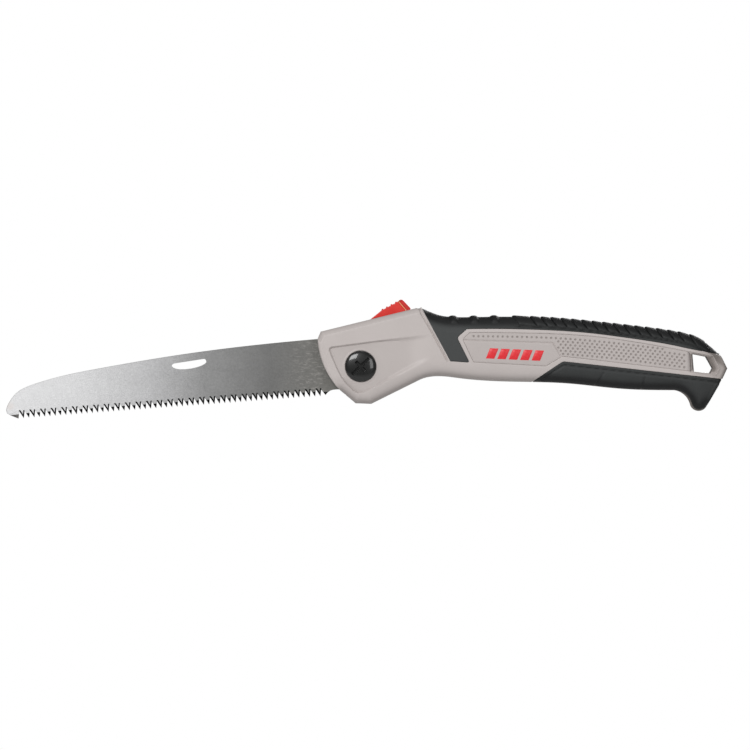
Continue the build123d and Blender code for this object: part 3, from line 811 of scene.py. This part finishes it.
# Painted sheen: the rubber is lighter where it stands proudest, on the flat faces that catch the front light,
# and less so behind the flap and at the tail. Grain varies it at random besides.
painted_sheen = depth.step(9.0, 11.2) * along.step(56, 74, 1.0, 0.62) * along.step(188, 202, 1.0, 0.7)
painted_sheen = painted_sheen + (cloud + fine - 1.0) * 0.25
painted_sheen = painted_sheen.between(linear(22, 23, 24), linear(67, 69, 69))
surface(new, shader, painted_sheen, fine * 0.2 + cloud * 0.12 + 0.44, fine, 0.03)

thumb_ridges = (53.4, 65.3, 77.1)
rib_starts = [87.5, 97.9, 104.1, 109.7, 115.7, 121.6, 127.5, 133.6, 139.7, 145.8, 151.9, 158.3, 164.4, 170.8]
rib_starts = np.array(rib_starts + [177.3, 183.3, 190.1, 199.5])
rib_lean, thumb_lean = 0.8, 0.3
spine_line = np.array(top_line)


def below_top(p):
    """Depth of each point below the top line of the handle."""
    return np.interp(p[:, 0], spine_line[:, 0], spine_line[:, 1]) - p[:, 1]


def grip_ribs(p):
    """Thumb ridges over the spine, then a proud block of ribs that each start sharply and run down."""
    deep = below_top(p)
    raised = np.zeros(len(p))
    for centre in thumb_ridges:
        across = (p[:, 0] - thumb_lean * deep - centre) / 2.1
        raised += 0.95 * np.exp(-(across**4)) * (1 - step(deep, 2.6, 4.6))
    lean = p[:, 0] - rib_lean * deep
    which = np.clip(np.searchsorted(rib_starts, lean) - 1, 0, len(rib_starts) - 2)
    share = np.clip((lean - rib_starts[which]) / (rib_starts[which + 1] - rib_starts[which]), 0, 1)
    block = (lean > rib_starts[0]) * (lean < rib_starts[-1] + 0.8) * (1 - step(deep, 5.0, 5.4))
    gap = np.minimum(np.abs(lean - rib_starts[which]), np.abs(rib_starts[which + 1] - lean))
    rib = 0.9 - 0.55 * share - 0.6 * soft_line(gap, 0.45)
    line = -0.45 * soft_line(deep - 6.0, 0.4) * step(lean, 84, 87) * (1 - step(lean, 198, 201))
    return raised + rib * block - 0.1 * (deep < 9) + line


rib_rows = []
for start in rib_starts:
    for offset in (-0.45, -0.2, 0.0, 0.2, 0.45):
        rib_rows += [(start + offset + rib_lean * deep, deep) for deep in np.arange(0.3, 5.4, 0.35)]
rib_rows = np.array([(x, np.interp(x, spine_line[:, 0], spine_line[:, 1]) - deep) for x, deep in rib_rows])
top_loop = loop(collar_side, flap, top_border, top_line[::-1][:-3])
rib_rows = kept_inside(rib_rows, [top_loop], 0.2)
grip_rows = (0.12, 0.3, 0.5, 0.85)
points, faces = lifted(
    [top_loop], 0.55, lambda p: cheek(p) + 0.25, grip_rows, parting, 8, soft=0.5, drop=0.45, extra=rib_rows
)
points = swell(points, faces, lambda p: grip_ribs(p[:, [0, 2]]) - 0.35 * (p[:, 1] < 4), parting)
grips = both_sides("top_grip", [rubber], points, faces, 50)
cut_away(grips, "grip_slot", blade_slot, slot_half)

# The lower grips
# The same rubber under the fingers and round the guard hook. It stops short of the slot, where a lip of the
# grey shell shows, and has a stepped border and two slanting grooves.


edge_run = [p for p in belly if p[0] > 99.9] + throat[1:] + hook[1:] + [p for p in tail[1:] if p[1] < -7.6]
run_x = np.array(edge_run)[:, :1]
rim_width = 0.45 + 0.75 * step(run_x, 183, 189) * (1 - step(run_x, 198, 201))
rubber_edge = [(100.4, -8.3)] + drawn_in(edge_run, rim_width)[1:]
low_loop = loop(rubber_edge, low_border[::-1])
stepped = drawn_in(edge_run, 2.6)


def finger_relief(p):
    """A border step round the grip and two slanting grooves."""
    border = away(p, [low_border], False)
    raised = 0.35 * step(border, 1.9, 3.4) - 0.5 * soft_line(border - 1.9, 0.35)
    raised -= 0.3 * soft_line(away(p, [stepped], False), 0.3)
    for groove in ([(140.4, -3.9), (135.6, -11.2)], [(164.3, -6.4), (162.6, -13.2)]):
        raised -= 0.5 * soft_line(away(p, [groove], False), 0.6)
    return raised


lip_top = 2.5
points, faces = lifted([low_loop], 0.6, lambda p: cheek(p) + 0.2, grip_rows, lip_top, soft=0.6, drop=0.6)
points = swell(points, faces, lambda p: finger_relief(p[:, [0, 2]]) * (p[:, 1] > 5), lip_top)
both_sides("lower_grip", [rubber], points, faces, 50)

lip_loop = loop(edge_run, low_border[::-1])
points, faces, rows = skinned([[(x, level, z) for x, z in lip_loop] for level in (slot_half, lip_top)])
faces += capped([lip_loop], rows[:1]) + capped([lip_loop], rows[1:])
for side, sign in cheeks:
    piece(side + "slot_lip", "handle", [nylon], np.array(points) * (1, sign, 1), faces, 40)

# The side panels
# Separate grey inserts let into each cheek: a smooth field for a badge at the front, and small round dimples
# behind it. The badge is a row of slanted red blocks, printed raised.
light, dark, speck = (192, 184, 181), (184, 176, 173), (0.3, 3.0, 0.6)
panel_grey = clouded(
    "panel_grey", dark, light, (16.0, 3.0), (0.38, 0.15, 0.1), 0.015, speck, Specular_IOR_Level=0.4
)
# Painted shade: the bottoms of the dimples get a darker grey than the panel, for the shade in the small
# hollows.
light, dark = (166, 158, 155), (150, 142, 139)
dimple_painted_shade = clouded("dimple_painted_shade", dark, light, (0.3, 3.0), (0.5, 0.2), 0.015, Specular_IOR_Level=0.3)

badge_line = [(59.6, 15.2), (111.2, 13.6), (115.8, 6.0)]
badge_field = np.array([(66.3, 3.0), (106.6, 0.9)] + badge_line[::-1])
dimple_pitch, row_gap, dimple_radius = 2.8, 1.78, 0.74
first_row = [(65.4, 17.4), (90, 17.05), (112.5, 16.3), (132.1, 14.85), (160, 11.9), (187.4, 8.3)]
first_row = np.array(curve(first_row, step=0.5))
dimples = []
for row in range(6):
    for number in range(44):
        x = 65.4 + dimple_pitch * (number + 0.5 * (row % 2))
        dimples.append((x, np.interp(x, first_row[:, 0], first_row[:, 1]) - row_gap * row))
dimples = np.array(dimples)
dimples = dimples[~inside(dimples, [badge_field]) & (away(dimples, [badge_field]) > 1.2)]
dimples = kept_inside(dimples, [panel_loop], 1.2)
round_dimples = [arc(radius, 0, 315, step=45) for radius in (0.3, 0.55, dimple_radius, 0.9)]
dimple_points = [dimples] + [dimples + offset for ring in round_dimples for offset in np.array(ring)]


def panel_relief(p):
    """A line round the raised badge field, and small round dimples."""
    field = away(p, [badge_line], False)
    within = inside(p, [badge_field])
    far = np.full(len(p), 9.0)
    for centre in dimples:
        near = np.abs(p[:, 0] - centre[0]) < 1.2
        far[near] = np.minimum(far[near], np.hypot(*(p[near] - centre).T))
    dimple = -0.5 * (1 - step(far, 0.1, dimple_radius))
    return -0.45 * soft_line(field, 0.35) + dimple + 0.1 * within * step(field, 0.3, 0.9)


def panel_level(p):
    """The insert's face, which rolls down into the lanyard hole at its end."""
    return cheek(p) - 0.25 + panel_relief(p) - 0.9 * step(p[:, 0], 188.5, 191.3)


field_rows = [drawn_in(straight(badge_line, 0.35), depth) for depth in (-0.5, -0.25, 0.01, 0.25, 0.5)]
detail = np.concatenate(dimple_points + [np.array(row) for row in field_rows])
detail = kept_inside(detail, [panel_loop], 0.5)
points, faces = lifted(
    [panel_loop], 0.6, panel_level, (0.1, 0.25, 0.45), 3.0, wall_rows=2, soft=0.45, drop=0.4, extra=detail
)
middles = np.array([points[list(f)].mean(0) for f in faces])
# Faces in the dimple bottoms take the darker grey, which is painted shade.
hollowed = np.zeros(len(faces), int)
for centre in dimples:
    reach = np.hypot(*(middles[:, [0, 2]] - centre).T)
    hollowed[(reach < 0.68) & (middles[:, 1] > 5)] = 1
panels = both_sides("side_panel", [panel_grey, dimple_painted_shade], points, faces, 60, hollowed)
for number, place in enumerate(screw_places):
    cut_away(panels[1:], f"panel_bore_{number}", arc(panel_bore, 0, 352, place, 8), bore_mouth, -2.0)

badge_red = clouded("badge_red", (222, 38, 46), (238, 52, 60), (1.2, 2.0), (0.3, 0.2), 0.01)
block_starts, block_width, block_lean = (72.4, 79.0, 85.6, 92.2, 98.8), 4.9, 2.4
for side, sign in cheeks:
    points, faces = [], []
    for x in block_starts:
        fall = (x - block_starts[0]) * 0.045
        corners = [(x, 4.6), (x + block_width, 4.4)]
        corners += [(x + block_width + block_lean, 10.3), (x + block_lean, 10.5)]
        ring = loop(straight([(a, b - fall) for a, b in corners + corners[:1]], 0.8))
        flat, tops, rings = fill([ring], edge_points([ring], (0.15,)))
        height = panel_level(flat) + 0.16 - 0.12 * (away(flat, [ring]) < 0.05)
        first, base = len(points), len(points) + len(flat)
        points += [(a, sign * (h - sink), b) for sink in (0, 0.5) for (a, b), h in zip(flat, height)]
        faces += [tuple(int(i) + first for i in f) for f in tops]
        faces += [tuple(int(i) + base for i in f[::-1]) for f in tops]
        faces += band([first + i for i in rings[0]], [base + i for i in rings[0]])
    piece(side + "badge_blocks", "handle", [badge_red], points, faces, 40)

# The pivot
# A black-coated screw with a domed head comes in from the front, through two plain washers and the blade. It
# turns into a sleeve nut whose flat head sits in a six-sided seat in the back shell.
gloss = {"Specular_IOR_Level": 0.35, "Coat_Weight": 0.7, "Coat_Roughness": 0.07}
dull, speck = (0.24, 0.16, 0.1), (0.35, 3.0, 0.6)
blacked = clouded("black_coated_steel", (6, 7, 6), (14, 15, 14), (5.0, 3.0), dull, 0.012, speck, **gloss)
head_radius, seat, crown, shoulder, shank_radius, shank_end = 8.9, 9.35, 12.05, 0.75, 2.95, -5.9
dome_radius = head_radius * 0.985


def dome(share):
    """How far forward the head's dome stands at this share of its radius."""
    return seat + shoulder + (crown - seat - shoulder) * math.sqrt(1 - (share * 0.97) ** 2)


profile = [(0, crown)] + [(dome_radius * share, dome(share)) for share in np.linspace(0.06, 1, 22)]
profile += [(head_radius, seat + 0.7), (head_radius, seat)]
profile += [(shank_radius, seat), (shank_radius, shank_end), (0, shank_end)]
rings, head_step = [], 3.75
for radius, forward in profile:
    turned = arc(radius, 0, 360 - head_step, step=head_step) if radius else [(0, 0)]
    rings.append([(x, forward, z) for x, z in turned])
points, faces, rows = skinned(rings)
head = piece("pivot_screw_head", "handle", [blacked], points, faces, 35, None, ["pivot_screw"])


def mill_slot(name, length, turn, width=2.1, depth=2.2, slope=0.9):
    """Mills one arm of the head's recess, with ends that slope in."""
    rings, c, s = ([], []), math.cos(math.radians(turn)), math.sin(math.radians(turn))
    for ring, level, trim in ((rings[0], crown + 0.6, 0), (rings[1], crown - depth, slope)):
        for sx, sz in ((-1, -1), (1, -1), (1, 1), (-1, 1)):
            x, z = sx * (length / 2 - trim), sz * (width / 2 - trim * 0.36)
            ring.append((x * c - z * s, level, x * s + z * c))
    cut_out([head], name, rings)


mill_slot("long_slot", 14.4, 44)
mill_slot("short_arm", 8.6, 134)
# Painted shade: the faces inside the milled recess take a darker black than the head, for the shade in the
# slots.
recess = clouded("recess_painted_shade", (3, 3, 3), (12, 12, 12), (1.0, 3.0), (0.25, 0.3), 0.02)
head.data.materials.append(recess)
for polygon in head.data.polygons:
    polygon.use_smooth = True
    x, y, z = (polygon.center - pivot) * 1000
    reach = math.hypot(x, z) / dome_radius
    if reach < 0.95 and seat + 1 < -y < dome(reach) - 0.05:
        polygon.material_index = 1
head.data.set_sharp_from_angle(angle=math.radians(30))


def refinish(made, *names):
    """Gives CAD parts whose shape is already right their finish."""
    for name in names:
        for entry in frame["nodes"][name].material_slots:
            entry.material = made


refinish(blacked, "pivot_nut")

light, dark = (222, 220, 212), (205, 202, 192)
washer_nylon = clouded("washer_nylon", dark, light, (2.0, 3.0), None, 0.01, Roughness=0.5)
refinish(washer_nylon, "front_pivot_washer", "back_pivot_washer")

# The lock
# A steel rocker on a cross pin, with a coil spring of drawn wire under its back end, built as one fixed coil
# on the handle.
# A red moulded thumb pad covers its rear, ribbed on the ramp and with a darker strip behind.
light, dark, speck = (196, 197, 198), (160, 162, 165), (0.4, 3.0)
plated = clouded("zinc_plated_steel", dark, light, (3.0, 3.0), (0.25, 0.2), 0.01, speck, Metallic=1.0)
refinish(plated, "lock_pin", "lock_lever", "shell_screws")

light, dark = (182, 183, 185), (150, 151, 154)
drawn_wire = clouded("drawn_spring_wire", dark, light, (0.5, 3.0), (0.25, 0.2), 0.01, Metallic=1.0)
coil_x, coil_radius, wire_radius, coil_turns, coil_seat, coil_top = 24.0, 2.1, 0.28, 5, 17.0, 25.95
rings, wire_rise = [], coil_top - coil_seat - 2 * wire_radius
wire = [(coil_radius + u, v) for u, v in arc(wire_radius, 0, 324, step=36)]
for share in np.linspace(0, 1, coil_turns * 24 + 1):
    turn, middle = 2 * math.pi * coil_turns * share, coil_seat + wire_radius + wire_rise * share
    rings.append([(coil_x + r * math.cos(turn), r * math.sin(turn), middle + v) for r, v in wire])
points, faces, rows = skinned(rings)
faces += [tuple(rows[0]), tuple(rows[-1][::-1])]
coil = piece("lock_coil", "handle", [drawn_wire], points, faces, 35, None, ["lock_spring"])
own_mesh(coil)

dull, speck = (0.28, 0.15, 0.08), (0.3, 3.0)
red = clouded("red_thumb_pad", (214, 40, 32), (232, 54, 42), (6.0, 2.0), dull, 0.012, speck)
dark_red = clouded("dark_red_strip", (200, 34, 31), (214, 43, 38), (3.0, 2.0), (0.3, 0.2), 0.012)
# Painted highlight: a pale pinkish red for the light caught along the back edge of the thumb pad.
painted_highlight_red = clouded("painted_highlight_edge", (240, 150, 110), (246, 176, 130), (1.5, 2.0), (0.3, 0.2), 0.01)


def bar(name, made, outline, half, soft, stands_for=()):
    """A bar across the handle with this side view, its two ends rounded over by soft."""
    ring = loop(outline)
    square = leftward(np.roll(ring, -1, axis=0) - np.roll(ring, 1, axis=0))
    turns = np.radians(np.linspace(90, 0, 6))
    levels = [(half - soft + soft * math.sin(t), soft * (1 - math.cos(t))) for t in turns]
    levels += [(-level, inset) for level, inset in levels[::-1]]
    rings = [[(x, level, z) for x, z in ring + inset * square] for level, inset in levels]
    points, faces, rows = skinned(rings)
    faces += capped([ring], rows[:1]) + capped([ring], rows[-1:])
    piece(name, "lock", [made], points, faces, 40, stands_for=stands_for)


ramp_start, ramp_end, rib_radius, rib_pitch = np.array((12.2, 32.5)), np.array((22.6, 38.0)), 0.62, 2.95
ramp = (ramp_end - ramp_start) / math.dist(ramp_end, ramp_start)
up = np.array((-ramp[1], ramp[0]))
ribbed = []
for number in range(4):
    middle = ramp_start + ramp * (0.55 + rib_pitch * number)
    for turn in np.radians(np.linspace(0, 180, 9)):
        ribbed.append(tuple(middle - ramp * rib_radius * math.cos(turn) + up * rib_radius * math.sin(turn)))
pad = [(4.6, 26.4), (8.2, 29.3)] + ribbed
pad += [(21.5, 37.6), (25.7, 32.9), (26.0, 28.0), (19.0, 27.2), (9.0, 28.0)]
bar("thumb_pad", red, pad[::-1], 4.0, 0.5, stands_for=["lock_button"])
# A thin bead along the pad's back edge, in the pale red of the painted highlight.
bead = [(21.5, 37.7), (22.1, 37.9), (26.3, 33.0), (26.5, 28.1), (25.9, 28.0), (25.7, 32.8)]
bar("thumb_pad_bead", painted_highlight_red, bead[::-1], 3.97, 0.25)
strip = curve([(22.0, 38.0), (23.6, 38.7), (24.8, 38.0)], (0.6, 0.5), (0.7, -0.7), 0.3)
strip += [(28.9, 33.7), (28.3, 28.2), (26.6, 28.1), (26.4, 33.0)]
bar("thumb_pad_strip", dark_red, strip[::-1], 3.8, 0.4)
